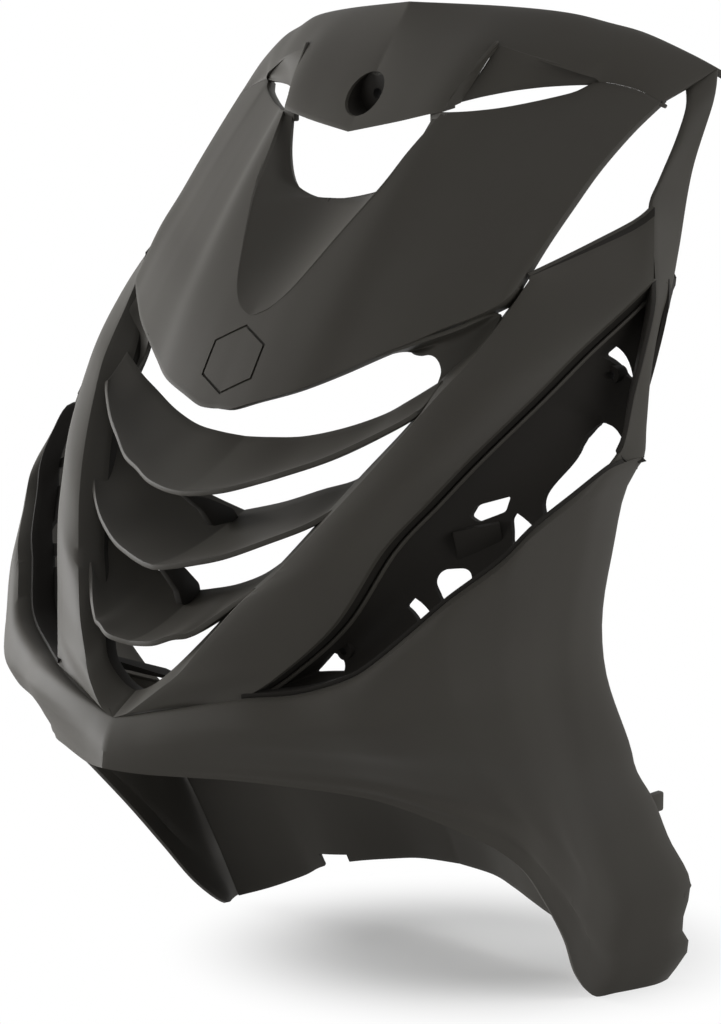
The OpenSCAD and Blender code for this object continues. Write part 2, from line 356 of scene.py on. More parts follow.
    def plate(self, name: str, outline: Sequence[Pair], width: float, rim: float) -> bpy.types.Object:
        """A plate on the middle plane.

        Args:
            name: Name of the piece.
            outline: Corners as (y, z) in millimetres.
            width: Width along x.
            rim: Radius of its edges.

        Returns:
            The plate.
        """
        piece = self.extruded([(-width / 2, y, z) for y, z in outline], (width, 0, 0))
        piece.name = name
        self.ease(piece, rim, angle=50)
        return piece

    def rod(self, name: str, start: Sequence[float], end: Sequence[float], width: float, sides: int = 48,
            end_width: float | None = None) -> bpy.types.Object:
        """A round rod or cutter between two drawn points.

        Args:
            name: Name of the piece.
            start: Middle of its first end in millimetres.
            end: Middle of its last end.
            width: Diameter of the first end.
            sides: Faces round it.
            end_width: Diameter of the last end, where it tapers.

        Returns:
            The rod, with its place in its mesh.
        """
        a, b = (self.drawing.place(np.array(p, dtype=float)) for p in (start, end))
        way = b - a
        length = float(np.linalg.norm(way))
        self.clear()
        bpy.ops.mesh.primitive_cone_add(
            vertices=sides, radius1=width / 2 * self.drawing.scale,
            radius2=(end_width or width) / 2 * self.drawing.scale, depth=length,
            location=tuple((a + b) / 2),
            rotation=(math.acos(way[2] / length), 0, math.atan2(way[1], way[0]) + math.pi / 2))
        piece = bpy.context.object
        piece.name = name
        bpy.ops.object.transform_apply(location=True, rotation=True, scale=True)
        return piece

    def block(self, name: str, middle: Sequence[float], size: Sequence[float], turn: Triple = (0, 0, 0),
              rim: float = 0.8) -> bpy.types.Object:
        """A small moulded block with eased edges.

        Args:
            name: Name of the piece.
            middle: Its middle in millimetres.
            size: Its sides in millimetres.
            turn: Angles about x, y and z in degrees.
            rim: Radius of its edges.

        Returns:
            The block, with its place in its mesh.
        """
        self.clear()
        bpy.ops.mesh.primitive_cube_add(
            size=1, location=tuple(self.drawing.place(np.array(middle, dtype=float))),
            rotation=tuple(math.radians(a) for a in turn))
        piece = bpy.context.object
        piece.name = name
        piece.scale = [side * self.drawing.scale for side in size]
        bpy.ops.object.transform_apply(location=True, rotation=True, scale=True)
        self.ease(piece, rim, angle=30)
        return piece

    def combine(self, piece: bpy.types.Object, tool: bpy.types.Object, operation: str) -> None:
        """Combines a piece with a tool by a boolean operation and throws the tool away."""
        step = piece.modifiers.new(operation.lower(), "BOOLEAN")
        step.operation = operation
        step.solver = "MANIFOLD"
        step.object = tool
        self.apply(piece, step)
        bpy.data.objects.remove(tool)

    def cut(self, piece: bpy.types.Object, tools: Iterable[bpy.types.Object]) -> None:
        """Cuts the tools out of a piece."""
        for tool in tools:
            self.combine(piece, tool, "DIFFERENCE")

    def join(self, name: str, pieces: Sequence[bpy.types.Object]) -> bpy.types.Object:
        """Joins pieces of one moulding into one object."""
        self.clear()
        for piece in pieces:
            piece.select_set(True)
        bpy.context.view_layer.objects.active = pieces[0]
        bpy.ops.object.join()
        pieces[0].name = name
        return pieces[0]

    def smooth(self, piece: bpy.types.Object, angle: float = 32) -> None:
        """Shades a piece smooth apart from its sharp edges."""
        self.pick(piece)
        bpy.ops.object.shade_smooth_by_angle(angle=math.radians(angle))


class Side(Enum):
    """The two sides of the middle plane."""

    LEFT = 1
    RIGHT = -1

    def of(self, grid: np.ndarray) -> np.ndarray:
        """A grid drawn on the left, moved to this side."""
        return grid if self is Side.LEFT else mirrored(grid)

    def point(self, point: Sequence[float]) -> Triple:
        """A point drawn on the left, moved to this side."""
        return (point[0] * self.value, point[1], point[2])

    def outline(self, outline: Sequence[Pair]) -> list[Pair]:
        """A front-view outline drawn on the left, moved to this side."""
        return [(x * self.value, z) for x, z in outline]


# Sub-assemblies of the moulding


class Section(ABC):
    """A sub-assembly of the moulding, with its curves as fields."""

    @abstractmethod
    def build(self, shop: Workshop) -> list[bpy.types.Object]:
        """Builds the section.

        Args:
            shop: The workshop that makes the walls.

        Returns:
            The section's pieces.
        """


@dataclass
class TopBand(Section):
    """The band round the top rim, with its screw pocket, its recess and its scoop lip."""

    rim_line: Curve = Curve(((0, 6, 584), (58, 22, 581), (96, 34, 577), (119, 45, 571), (139, 53, 565),
                             (164, 63, 553), (178, 69, 545)))
    lip: Curve = Curve(((0, -51, 508), (32, -46, 514), (60, -39, 520)))
    shoulder: Curve = Curve(((60, -39, 520), (76, -26, 521), (93, -12, 524), (117, 9, 531), (128, 21, 537),
                             (148, 30, 533), (163, 33, 526)))
    middle: Curve = Curve(((0, 6, 584), (0, -12, 560), (0, -32, 534), (0, -51, 508)))
    end: Curve = Curve(((178, 69, 545), (171, 51, 535), (163, 33, 526)))
    recess: tuple[Pair, ...] = ((60.5, 516), (62, 528), (74, 558), (128, 539), (129, 532), (117, 520),
                                (76, 508))
    recess_radius: float = 2.5
    recess_upper: Curve = Curve(((73, -3, 559), (98, 3, 551), (131, 23, 540)))
    recess_lower: Curve = Curve(((62, -25, 526), (76, -13, 530), (99, 7, 534), (131, 23, 537)))
    recess_front: Curve = Curve(((60, -39, 520), (66, -25, 538), (74, -5, 559)))
    recess_rear: Curve = Curve(((63, -24, 525), (68, -13, 542), (74, -2, 560)))
    recess_along: int = 24
    recess_down: int = 12
    lip_half: float = 62
    lip_turn: Triple = (0.0, 11.0, 2.0)
    shoulder_turn: float = 0.45
    pocket: Triple = (0, -36, 530)
    pocket_bore: float = 26
    pocket_depth: float = 12
    screw_bore: float = 6.4
    tube_wall: float = 2.5
    tube_length: float = 23
    slant_at: Triple = (0, -22.1, 16.7)
    slant_size: Triple = (80, 60, 110)
    slant_turn: Triple = (-36, 0, 0)
    gusset_at: Triple = (58, -37, 516.5)
    gusset_size: Triple = (12, 5, 7)
    along: int = 64
    down: int = 20
    round_sides: int = 64

    def build(self, shop: Workshop) -> list[bpy.types.Object]:
        """Builds the band's walls and its pocket."""
        low = Curve(self.lip.points + self.shoulder.points[1:])
        top, base = self.rim_line.sample(self.along), low.sample(self.along)
        grid = patch(top, base, self.middle.sample(self.down), self.end.sample(self.down), (0, -6, 4))
        lip_turn = np.where(base[:, :1] < self.lip_half, 1.0, self.shoulder_turn) * np.array(self.lip_turn)
        rolled = [push(top, (0, 8, -5)), push(top, (0, 4, -1.2))]
        grid = np.concatenate([np.array(rolled), grid, (base + lip_turn)[None]])
        band = shop.sheet("band", whole(grid))
        recess = rounded(self.recess, self.recess_radius)
        shop.cut(band, [shop.prism(side.outline(recess)) for side in Side])
        tube = shop.rod("pocket", np.add(self.pocket, (0, -14, 0)),
                        np.add(self.pocket, (0, self.tube_length, 0)),
                        self.pocket_bore + 2 * self.tube_wall, self.round_sides)
        shop.cut(tube, [shop.block("slant", np.add(self.pocket, self.slant_at), self.slant_size,
                                   self.slant_turn, 0)])
        bores = (("bore", -40.0, self.pocket_depth, self.pocket_bore), ("screw", 0.0, 30.0, self.screw_bore))
        for name, near, far, width in bores:
            for wall in (band, tube):
                shop.cut(wall, [shop.rod(name, np.add(self.pocket, (0, near, 0)),
                                         np.add(self.pocket, (0, far, 0)), width, self.round_sides)])
        pieces = [band, tube]
        for side in Side:
            pieces += self.recess_walls(shop, side)
            pieces.append(shop.block("gusset", side.point(self.gusset_at), self.gusset_size, rim=1))
        return pieces

    def recess_walls(self, shop: Workshop, side: Side) -> list[bpy.types.Object]:
        """The wedge-shaped recess above the slot: its floor, its side wall and the slot's far edge.

        Args:
            shop: The workshop.
            side: Side of the middle plane.

        Returns:
            The walls.
        """
        upper, lower = (curve.sample(self.recess_along) for curve in (self.recess_upper, self.recess_lower))
        front, rear = (curve.sample(self.recess_down) for curve in (self.recess_front, self.recess_rear))
        edge = self.shoulder.sample(self.recess_along)
        return [
            shop.sheet("recess_floor", side.of(ruled(upper, lower, 4, (0, 1.5, 0)))),
            shop.sheet("recess_wall", side.of(ruled(front, rear, 2)), 2.0,
                       side.point((-60, 0, 540)), 0.4),
            shop.sheet("slot_edge", side.of(ruled(edge, push(edge, (0, 8, -2)), 2))),
        ]


@dataclass
class Hood(Section):
    """The hood with its scoop valley, its turned-in edges and the groove of the badge seat."""

    above: Curve = Curve(((0, -45, 520), (30, -43, 520)) + TopBand.shoulder.points)
    middle: Curve = Curve(((0, -45, 520), (0, -92, 465), (0, -137, 406), (0, -168, 356)))
    side: Curve = Curve(((163, 33, 526), (157, 10, 509), (152, -15, 488), (149, -37, 467), (147, -58, 447),
                         (144, -77, 425)))
    free: Curve = Curve(((144, -77, 425), (140, -87, 417), (130, -97, 410), (118, -108, 404),
                         (104, -120, 396), (90, -130, 389), (68, -144, 377), (49, -156, 368),
                         (27, -164, 361), (11, -168, 356), (0, -168, 356)))
    valley: Curve = Curve(((62, -37, 520), (54, -60, 498), (48, -79, 478), (35, -103, 450), (23, -123, 425),
                           (14, -132, 413), (6, -136, 408), (0, -137, 406)))
    floor: Curve = Curve(((54, -39, 517), (47, -49, 497), (40, -55, 483), (33, -58, 476), (20, -63, 472),
                          (8, -67, 470), (0, -68, 469), (0, -86, 452), (0, -104, 436), (0, -122, 420),
                          (0, -136, 407)))
    badge_flats: float = 37
    badge_groove: float = 1.5
    groove_depth: float = 1.1
    crust_above: float = 0.6
    badge_middle: Triple = (0, -153, 383)
    badge_tilt: float = 53
    scoop_top: float = 560.0
    floor_curve: float = 0.8
    along: int = 72
    down: int = 40
    floor_rows: int = 16

    def build(self, shop: Workshop) -> list[bpy.types.Object]:
        """Builds the hood, its valley and its turned-in edges."""
        free = self.free.back().sample(self.along)
        face = patch(self.above.sample(self.along), free, self.middle.sample(self.down),
                     self.side.sample(self.down), (0, -1, 0))
        open_end = np.linspace(0, 1, self.along + 1)[:, None] ** 2
        turned = free + np.array([0, 15, 0]) * (0.35 + 0.75 * open_end) + np.array([0, 0, -1.0])
        grid = np.concatenate([face, turned[None]])
        inner = grid[:, -1] + np.array([-1, 8, 0])
        hood = shop.sheet("hood", whole(np.concatenate([grid, inner[:, None]], axis=1)))
        edge = self.valley.sample(self.down)
        outline = [(64.0, self.scoop_top)] + [(x * 0.985, z + 0.4) for x, _, z in edge]
        outline += [(-x, z) for x, z in reversed(outline[:-1])]
        shop.cut(hood, [shop.prism(outline)])
        self.groove(shop, hood, face)
        pieces = [hood]
        floor = self.floor.sample(self.down)
        rows = ruled(edge, floor, self.floor_rows)
        quarter = np.linspace(0, math.pi / 2, self.floor_rows + 1)[:, None, None]
        drop = np.sin(quarter) ** self.floor_curve
        rows[..., 1:] = edge[:, 1:] * (1 - drop) + floor[:, 1:] * drop
        rows[..., 0] = np.maximum(rows[..., 0], 0)
        pieces.append(shop.sheet("valley", [side.of(rows) for side in Side], rim=0.4))
        return pieces

    def groove(self, shop: Workshop, hood: bpy.types.Object, face: np.ndarray) -> None:
        """Cuts the six-sided groove of the badge seat to one depth along the hood's face.

        Args:
            shop: The workshop.
            hood: The hood.
            face: Rows of the hood's face.
        """
        tilt = math.radians(self.badge_tilt)
        out = np.array([0, -math.sin(tilt), math.cos(tilt)])
        seat = np.array(self.badge_middle, dtype=float)
        outer, inner = ((self.badge_flats + sign * self.badge_groove) / math.cos(math.radians(30))
                        for sign in (1, -1))
        ring = shop.rod("groove", seat - out * 14, seat + out * 14, outer, 6)
        shop.cut(ring, [shop.rod("core", seat - out * 16, seat + out * 16, inner, 6)])
        crust = shop.sheet("crust", whole(push(face, out * self.crust_above)),
                           self.crust_above + self.groove_depth, rim=0)
        shop.combine(ring, crust, "INTERSECT")
        shop.cut(hood, [ring])


@dataclass
class Arms(Section):
    """The two arms that run from the shoulders to the nose, one wall from inner flange to rear flange."""

    ridge: Curve = Curve(((148, -70, 430), (144, -83, 414), (140, -97, 399), (136, -111, 385),
                          (130, -126, 371), (122, -141, 354), (108, -164, 326), (92, -185, 299),
                          (75, -203, 273), (62, -216, 258), (49, -228, 238), (36, -237, 219),
                          (28, -243, 211), (18, -248, 202), (9, -251, 195), (0, -252, 192)))
    outer: Curve = Curve(((195, -18, 429), (189, -42, 412), (179, -69, 391), (168, -94, 368),
                          (150, -129, 335), (137, -149, 312), (123, -170, 287), (106, -190, 247),
                          (83, -213, 218), (71, -225, 208)))
    inner: Curve = Curve(((140, -68, 422), (130, -90, 396), (117, -112, 374), (112, -129, 354),
                          (97, -153, 326), (81, -173, 299), (65, -192, 273), (51, -205, 256),
                          (38, -219, 236), (25, -230, 219), (11, -233, 208), (0, -234, 204)))
    shoulder: Curve = Curve(((148, -70, 432), (157, -48, 441), (165, -30, 449), (175, -6, 460),
                             (180, 4, 468)))
    flange: float = 15
    web_root: Curve = Curve(((88, -131, 387), (104, -119, 394), (122, -103, 402), (138, -84, 411),
                             (137, -102, 392), (133, -117, 376), (128, -126, 366), (123, -131, 358)))
    web_free: Curve = Curve(((84, -110, 388), (94, -109, 389), (104, -110, 389), (110, -106, 387),
                             (113, -105, 380), (113, -108, 373), (113, -112, 368), (113, -116, 365)))
    flange_low: float = 7
    along: int = 72
    web_along: int = 28

    def build(self, shop: Workshop) -> list[bpy.types.Object]:
        """Builds both arms and the webs under the hood's corners."""
        ridge, outer, inner = (curve.sample(self.along) for curve in (self.ridge, self.outer, self.inner))
        ends = [np.linspace(ridge[i], outer[i], 11) for i in (0, -1)]
        face = patch(ridge, outer, ends[0], ends[1], (4, -5, 2))
        turn = ruled(inner, ridge, 4)[:-1]
        grid = np.concatenate([turn, face, push(outer, (0, 4, 0))[None]])
        web = [curve.sample(self.web_along) for curve in (self.web_root, self.web_free)]
        tear = self.shoulder.sample(10)
        blend = np.linspace(0, 1, 9)[None, :, None]
        corner = tear[:, None] * (1 - blend) + face[:, :1] * blend
        pieces = []
        for side in Side:
            pieces.append(shop.sheet("arm", [side.of(grid), side.of(corner[:, 1:])], rim=0.8))
            pieces.append(shop.sheet("shoulder_lip", side.of(corner[:, :2]), rim=0.4))
            pieces.append(shop.sheet("web", side.of(ruled(*web, 6, (0, 3, 0))), rim=0.6))
            back = ruled(push(outer, (-0.5, 2.5, -0.5)), push(outer, (-1, self.flange + 1, 0)), 3)
            pieces.append(shop.sheet("arm_back", side.of(back), rim=0))
            bead = ruled(push(outer, (1, 11, -1.5)), push(outer, (1.6, 13.6, -2.2)), 1)
            pieces.append(shop.sheet("bead", side.of(bead), 1.6, rim=0.6))
        rim = self.inner.back().sample(self.along)
        depth = np.linspace(self.flange_low, self.flange, self.along + 1)[:, None] * np.array([0, 1, 0])
        pieces.append(shop.sheet("arm_flange", whole(ruled(rim, rim + depth, 2)),
                                 towards=(0, -120, 120), rim=0.4))
        return pieces


@dataclass(frozen=True)
class Tab:
    """A small block on a rear edge: its middle, sides, angles about x, y and z, and edge radius."""

    name: str
    middle: Triple
    size: Triple
    turn: Triple = (0, 0, 0)
    rim: float = 0.8


@dataclass
class Wings(Section):
    """The wings that sweep from the nose back to the legs, and the strips up to the top corners."""

    upper: Curve = Curve(((0, -252, 192), (36, -241, 200), (71, -225, 208), (96, -208, 211),
                          (120, -195, 220), (133, -186, 230), (150, -169, 250), (162, -158, 264),
                          (180, -136, 284), (191, -122, 301), (202, -101, 317), (210, -81, 330),
                          (211, -64, 333), (210, -46, 334)))
    arch: Curve = Curve(((0, -261, 165), (22, -251, 163), (63, -228, 162), (90, -209, 159),
                         (117, -180, 152), (135, -162, 144), (153, -136, 129), (162, -116, 117),
                         (167, -95, 100), (165, -72, 76), (161, -47, 47), (154, -26, 20), (150, -3, 1),
                         (155, 12, 0), (164, 39, 0), (164, 54, 0)))
    nose: Curve = Curve(((0, -252, 192), (0, -259, 178), (0, -261, 165)))
    rear: Curve = Curve(((210, -46, 334), (202, -53, 314), (198, -58, 282), (195, -62, 253),
                         (196, -64, 230), (198, -60, 206), (195, -35, 168), (190, -20, 148), (184, 7, 124),
                         (179, 31, 95), (176, 59, 62), (173, 55, 35), (172, 65, 19), (164, 54, 0)))
    strip_rear: Curve = Curve(((210, -46, 334), (210, -44, 352), (206, -34, 382), (200, -16, 410),
                               (196, -1, 424), (188, 18, 445), (180, 42, 487), (182, 60, 527),
                               (178, 69, 545)))
    strip_front: Curve = Curve(((210, -70, 338), (210, -64, 347), (207, -53, 367), (206, -43, 386),
                                (202, -27, 412), (195, -16, 428), (187, -7, 448), (178, 4, 468),
                                (177, 15, 482), (175, 35, 505), (174, 46, 523), (168, 54, 536)))
    tear_low: Curve = Arms.shoulder
    tabs: tuple[Tab, ...] = (Tab("tab_mid", (178, 15, 120), (5, 16, 12), rim=1.6),
                             Tab("tab_high", (205, -50, 331), (3, 6, 9)),
                             Tab("tab_foot", (174, 54, 60), (4, 10, 10), (40, 0, 0)))
    flange: float = 15
    along: int = 96
    down: int = 40
    strip_along: int = 60
    edge_along: int = 72

    def intake_edge(self) -> Curve:
        """The outer edge of the side intake, from the nose up to the strip."""
        return Curve(self.upper.points[2:-1] + self.strip_front.points[:6])

    def build(self, shop: Workshop) -> list[bpy.types.Object]:
        """Builds the wings, strips, shoulders and their turned-in edges."""
        grid = patch(self.upper.sample(self.along), self.arch.sample(self.along), self.nose.sample(self.down),
                     self.rear.sample(self.down), (9, -12, 2), (1.1, 0.5), 1.8)
        pieces = [shop.sheet("wing", whole(grid), rim=0.9)]
        front = Curve(((206, -80, 326),) + self.strip_front.points)
        rear = Curve(((205, -51, 324),) + self.strip_rear.points)
        strip = ruled(front.sample(self.strip_along), rear.sample(self.strip_along), 6, (0.8, 0, 0))
        out = self.intake_edge().sample(self.edge_along)
        way = np.linspace(0, 1, self.edge_along + 1)[:, None] ** 2
        turned = out + (1 - way) * np.array([-3, self.flange, 0]) + way * np.array([-9, 6, 0])
        tear = Curve(self.strip_front.points[5:]).sample(32)
        low = self.tear_low.sample(24)
        for side in Side:
            pieces += [
                shop.sheet("strip", side.of(strip)),
                shop.sheet("tear_edge", side.of(ruled(tear, push(tear, (-1, 8, 0)), 2)), rim=0.4),
                shop.sheet("tear_foot", side.of(ruled(low, push(low, (-2, 6, -4)), 2)), rim=0.4),
                shop.sheet("intake_edge", side.of(ruled(out, turned, 3)), rim=0.4),
            ]
            pieces += [shop.block(tab.name, side.point(tab.middle), tab.size, tab.turn, tab.rim)
                       for tab in self.tabs]
        return pieces


@dataclass
class Slat:
    """One curved slat: its front edge, its rear edge and how far it bows."""

    front: Curve
    rear: Curve
    bow: Triple = (0, -3, -5)


@dataclass
class Louvres(Section):
    """The three slats under the hood and the ties between them."""

    slats: tuple[Slat, ...] = (
        Slat(Curve(((0, -197, 309), (13, -196, 310), (30, -192, 313), (46, -185, 318), (60, -180, 323),
                    (79, -167, 331), (97, -155, 341), (115, -140, 353), (121, -134, 359))),
             Curve(((0, -140, 335), (18, -140, 336), (41, -136, 338), (65, -129, 344), (88, -121, 353),
                    (104, -118, 362), (122, -112, 374)))),
        Slat(Curve(((0, -219, 270), (9, -218, 271), (24, -214, 274), (43, -207, 279), (64, -196, 288),
                    (82, -183, 297), (93, -174, 305))),
             Curve(((0, -142, 292), (31, -142, 300), (60, -141, 310), (85, -142, 318), (105, -144, 330)))),
        Slat(Curve(((0, -238, 230), (17, -238, 232), (28, -234, 236), (37, -229, 238), (48, -221, 247),
                    (58, -212, 257), (65, -206, 264))),
             Curve(((0, -180, 251), (10, -180, 253), (30, -180, 258), (52, -180, 267), (72, -180, 280)))),
    )
    thickness: float = 3
    along: int = 40
    ties: tuple[tuple[Pair, ...], ...] = (
        ((-196, 310), (-177, 306), (-155, 297), (-150, 290), (-172, 289), (-180, 299)),
        ((-213, 270), (-196, 269), (-184, 258), (-182, 249), (-198, 247), (-201, 256)),
    )
    tie_width: float = 5
    tie_radius: float = 2

    def build(self, shop: Workshop) -> list[bpy.types.Object]:
        """Builds the slats and ties."""
        pieces = []
        for slat in self.slats:
            grid = ruled(slat.front.sample(self.along), slat.rear.sample(self.along), 10, slat.bow)
            pieces.append(shop.sheet("slat", whole(grid), self.thickness, (0, -100, 600), 1.0))
        for outline in self.ties:
            pieces.append(shop.plate("tie", rounded(outline, self.tie_radius), self.tie_width, 0.6))
        return pieces


@dataclass
class IntakePans(Section):
    """The recessed pans inside the side intakes, with their cut-outs, brackets and screw eyes."""

    arm: Curve = Arms.outer
    edge: Curve = field(default_factory=lambda: Wings().intake_edge())
    flange: float = 15
    cut_outs: tuple[tuple[Pair, ...], ...] = (
        ((183, 349), (186, 352), (193, 350), (201, 343), (209, 336), (207, 324), (194, 302), (186, 304),
         (179, 311), (178, 318), (184, 333), (183, 342)),
        ((148, 309), (162, 314), (162, 306), (150, 300), (146, 303)),
        ((167, 306), (186, 298), (179, 288), (172, 291), (166, 302)),
        ((139, 275), (155, 277), (163, 270), (158, 259), (148, 259), (137, 268)),
        ((129, 260), (148, 252), (143, 246), (126, 255)),
        ((96, 230), (87, 218), (105, 220)),
        ((183, 394), (180, 388), (190, 376), (194, 374)),
    )
    corners: tuple[float, ...] = (7, 1.5, 1.5, 5, 1.5, 1.5, 1.5)
    eyes: tuple[Triple, ...] = ((100, -173, 230), (184, -42, 377))
    bracket_at: Triple = (152, -120, 290)
    bracket_size: Triple = (26, 12, 17)
    eye_bore: float = 4.2
    eye_wall: float = 3
    eye_length: float = 9
    eye_sides: int = 32
    along: int = 56

    def build(self, shop: Workshop) -> list[bpy.types.Object]:
        """Builds the pans, cut-outs, brackets and eyes."""
        arm = self.arm.back().sample(self.along)
        edge = self.edge.sample(self.along)
        grid = ruled(push(arm, (0, self.flange, 0)), push(edge, (-2, self.flange * 0.8, 0)), 12, (-4, 12, 0))
        pieces = []
        for side in Side:
            pan = shop.sheet("pan", side.of(grid), rim=0)
            for outline, radius in zip(self.cut_outs, self.corners):
                shop.cut(pan, [shop.prism(side.outline(rounded(outline, radius)))])
            for eye in self.eyes:
                near, end, far = (side.point(np.add(eye, (0, way, 0))) for way in (-10, self.eye_length, 14))
                collar = shop.rod("eye", side.point(eye), end, self.eye_bore + 2 * self.eye_wall,
                                  self.eye_sides)
                for wall in (collar, pan):
                    shop.cut(wall, [shop.rod("bore", near, far, self.eye_bore, self.eye_sides)])
                pieces.append(collar)
            bracket = shop.block("bracket", side.point(self.bracket_at), self.bracket_size,
                                 (0, -12, 38 * side.value))
            pieces += [pan, bracket]
        return pieces


@dataclass
class WheelWell(Section):
    """The wall behind the nose that closes the panel above the wheel."""

    top: Curve = Curve(((0, -46, 160), (34, -48, 160), (62, -52, 160), (90, -58, 160), (120, -64, 161),
                        (155, -68, 163), (188, -66, 164)))
    low: Curve = Curve(((0, 61, 42), (30, 58, 41), (52, 51, 38), (70, 44, 35), (86, 40, 31), (100, 40, 26),
                        (114, 40, 18), (135, 28, 8), (149, 12, 3)))
    middle: Curve = Curve(((0, -46, 160), (0, 4, 124), (0, 36, 88), (0, 61, 42)))
    side: Curve = Curve(((188, -66, 164), (180, -46, 140), (167, -22, 95), (156, -4, 47), (149, 12, 3)))
    notch: tuple[Pair, ...] = ((-96, 20), (-76, 20), (-76, 38), (-96, 36))
    along: int = 40
    down: int = 20

    def build(self, shop: Workshop) -> list[bpy.types.Object]:
        """Builds the wall with its notch."""
        grid = patch(self.top.sample(self.along), self.low.sample(self.along), self.middle.sample(self.down),
                     self.side.sample(self.down), (0, 0, 0))
        wall = shop.sheet("well", whole(grid), towards=(0, -400, 300))
        shop.cut(wall, [shop.prism(self.notch)])
        return [wall]


# Finish


def linear(hex_colour: str) -> tuple[float, float, float, float]:
    """Turns an sRGB hex colour into linear values with full alpha."""
    channels = [int(hex_colour[i : i + 2], 16) / 255 for i in (1, 3, 5)]
    return (*(c / 12.92 if c <= 0.04045 else ((c + 0.055) / 1.055) ** 2.4 for c in channels), 1.0)


def add_node(tree: bpy.types.NodeTree, kind: str, settings: dict | None = None,
             links: dict | None = None) -> bpy.types.Node:
    """Adds a node with its settings and links.

    Args:
        tree: The node tree.
        kind: The node's type.
        settings: Attributes, or input values where the key names an input.
        links: Output sockets by the name of the input that they feed.

    Returns:
        The node.
    """
    node = tree.nodes.new(kind)
    for key, value in (settings or {}).items():
        if key in node.inputs:
            node.inputs[key].default_value = value
        else:
            setattr(node, key, value)
    for key, socket in (links or {}).items():
        tree.links.new(socket, node.inputs[key])
    return node


def mixed(tree: bpy.types.NodeTree, share: bpy.types.NodeSocket, first: bpy.types.NodeSocket,
          second: bpy.types.NodeSocket) -> bpy.types.NodeSocket:
    """Mixes two shaders: the first where the share is 0, the second where it is 1."""
    mix = add_node(tree, "ShaderNodeMixShader", None, {0: share, 1: first, 2: second})
    return mix.outputs["Shader"]


@dataclass(frozen=True)
class GrainedPolypropylene:
    """Black polypropylene moulded in a finely textured tool: matt, with a soft sheen at grazing light."""

    name: str = "grained_polypropylene"
    body: str = "#3a3833"
    deep: str = "#322f2b"
    roughness: float = 0.62
    ior: float = 1.49
    # the real grain is about 0.15 mm and is drawn at 0.9 mm, the finest that shows at this distance
    grain_mm: float = 0.9
    mottle_mm: float = 60.0
    sheen: float = 0.2
    roughness_spread: float = 0.05
    bump_strength: float = 0.12
    bump_mm: float = 0.2

    def build(self) -> bpy.types.Material:
        """Builds the material.

        Returns:
            The material.
        """
        material = bpy.data.materials.new(self.name)
        material.use_nodes = True
        tree = material.node_tree
        tree.nodes.clear()
        place = add_node(tree, "ShaderNodeTexCoord")
        mottle = add_node(tree, "ShaderNodeTexNoise", {"Scale": 1000 / self.mottle_mm, "Detail": 4.0},
                          {"Vector": place.outputs["Object"]})
        grain = add_node(tree, "ShaderNodeTexNoise", {"Scale": 1000 / self.grain_mm, "Detail": 3.0},
                         {"Vector": place.outputs["Object"]})
        colour = add_node(tree, "ShaderNodeMix", {"data_type": "RGBA"})
        colour.inputs[6].default_value = linear(self.deep)
        colour.inputs[7].default_value = linear(self.body)
        tree.links.new(mottle.outputs["Fac"], colour.inputs[0])
        rough = add_node(tree, "ShaderNodeMapRange", {"To Min": self.roughness - self.roughness_spread,
                                                      "To Max": self.roughness + self.roughness_spread},
                         {"Value": mottle.outputs["Fac"]})
        bump = add_node(tree, "ShaderNodeBump",
                        {"Strength": self.bump_strength, "Distance": self.bump_mm / 1000},
                        {"Height": grain.outputs["Fac"]})
        shader = add_node(tree, "ShaderNodeBsdfPrincipled",
                          {"IOR": self.ior, "Specular IOR Level": self.sheen},
                          {"Base Color": colour.outputs[2], "Roughness": rough.outputs["Result"],
                           "Normal": bump.outputs["Normal"]})
        add_node(tree, "ShaderNodeOutputMaterial", None, {"Surface": shader.outputs["BSDF"]})
        return material


# Studio


@dataclass(frozen=True)
class Lamp:
    """A square area lamp: its place from the panel's middle and its side in metres, and its watts."""

    name: str
    offset: Triple
    side: float
    watts: float


